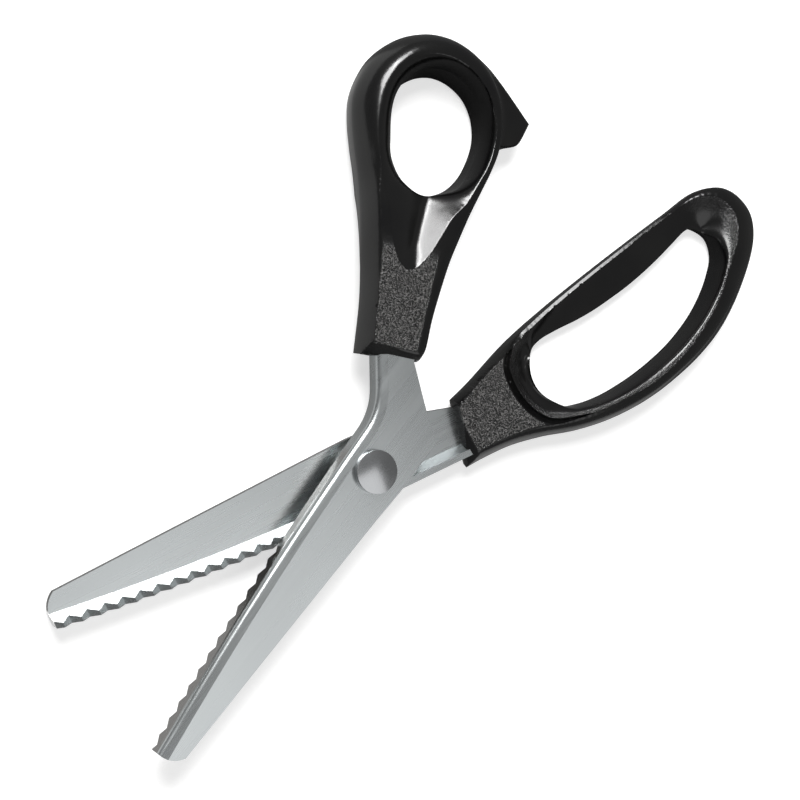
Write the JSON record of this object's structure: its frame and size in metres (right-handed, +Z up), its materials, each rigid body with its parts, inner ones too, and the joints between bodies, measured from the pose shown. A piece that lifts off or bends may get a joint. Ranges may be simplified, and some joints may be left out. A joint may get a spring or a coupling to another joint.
{
  "type": "pinking shears",
  "caption": "Pinking shears with zigzag cutting edges on flanged steel blades, moulded bent handles and a capped pivot.",
  "frame": {"origin": "on the pivot axis, in the plane of the table, at the flat end of the pivot nut", "axes": "+Z up along the pivot axis and out of the domed cap, +Y forward to the blade tips along the line that the closed shears point, +X to the right; the shears lie open on their finger half"},
  "size_m": [0.1319, 0.2396, 0.0161],
  "materials": {
    "blade_steel": "satin brushed stainless sheet",
    "handle_plastic": "black moulded plastic, smooth bands and fine grained panels",
    "bolt_steel": "turned steel",
    "cap_steel": "polished domed cap",
    "washer_steel": "spring steel",
    "bush_brass": "turned brass",
    "spacer_steel": "turned steel",
    "nylon": "natural nylon",
    "nut_steel": "turned steel with two key holes"
  },
  "bodies": {
    "finger_half": {"finger_blade": "blade_steel", "finger_handle": "handle_plastic", "finger_spacer": "spacer_steel", "thrust_washer": "nylon", "pivot_bolt": "bolt_steel", "spring_washer": "washer_steel", "pivot_cap": "cap_steel", "pivot_nut": "nut_steel"},
    "thumb_half": {"thumb_blade": "blade_steel", "thumb_handle": "handle_plastic", "thumb_spacer": "spacer_steel", "pivot_bush": "bush_brass"}
  },
  "joints": [
    {"name": "pivot", "type": "hinge", "parent": "finger_half", "child": "thumb_half", "pos_m": [0, 0, 0.0125], "axis": [0, 0, 1], "range_deg": [-25.4, 24]}
  ]
}
